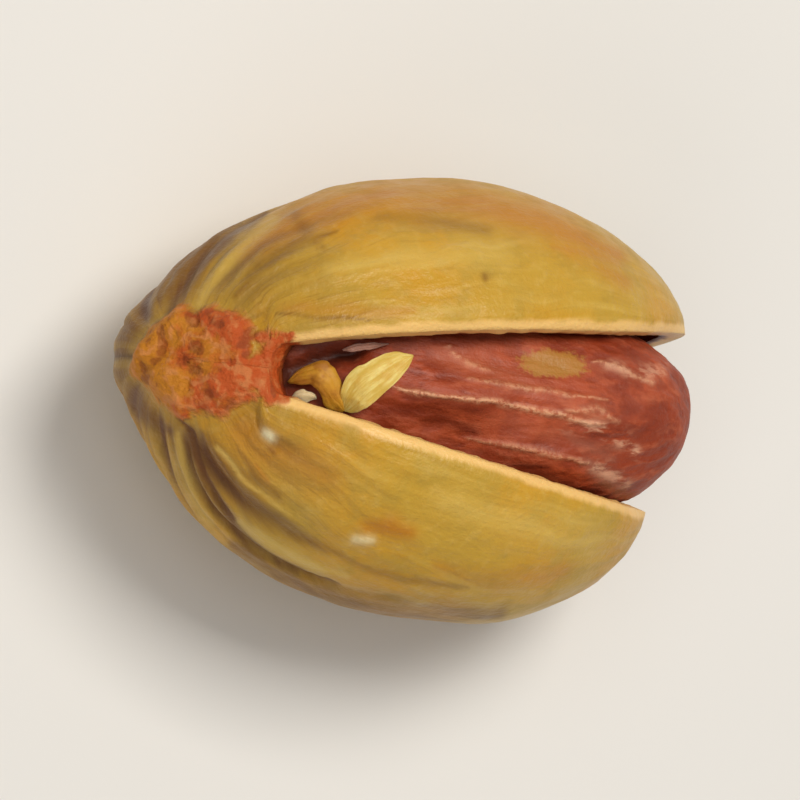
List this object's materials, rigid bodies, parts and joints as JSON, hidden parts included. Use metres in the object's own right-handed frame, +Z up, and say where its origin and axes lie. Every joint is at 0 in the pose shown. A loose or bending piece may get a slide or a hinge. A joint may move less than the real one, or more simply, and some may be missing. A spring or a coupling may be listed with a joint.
{
  "type": "pistachio in shell",
  "caption": "Roasted pistachio lying split side up: a woody shell opened along its seam, with the kernel and its dried seed stalk inside.",
  "frame": {"origin": "on the surface that the nut rests on, under the centre of its box", "axes": "+X from the stem end to the tip, +Z up through the open split, +Y across the two halves"},
  "size_m": [0.0206, 0.0152, 0.0128],
  "materials": {
    "shell": "smooth woody nut shell, golden tan with a soft sheen, pale at its split margins, a rough rusty scar at the stem end",
    "kernel": "dry papery seed skin, brownish pink, wrinkled along its seam",
    "funicle": "dried seed stalk, thin pale yellow fibre"
  },
  "bodies": {
    "root": {"shell": "shell", "kernel": "kernel", "funicle": "funicle"}
  },
  "joints": []
}
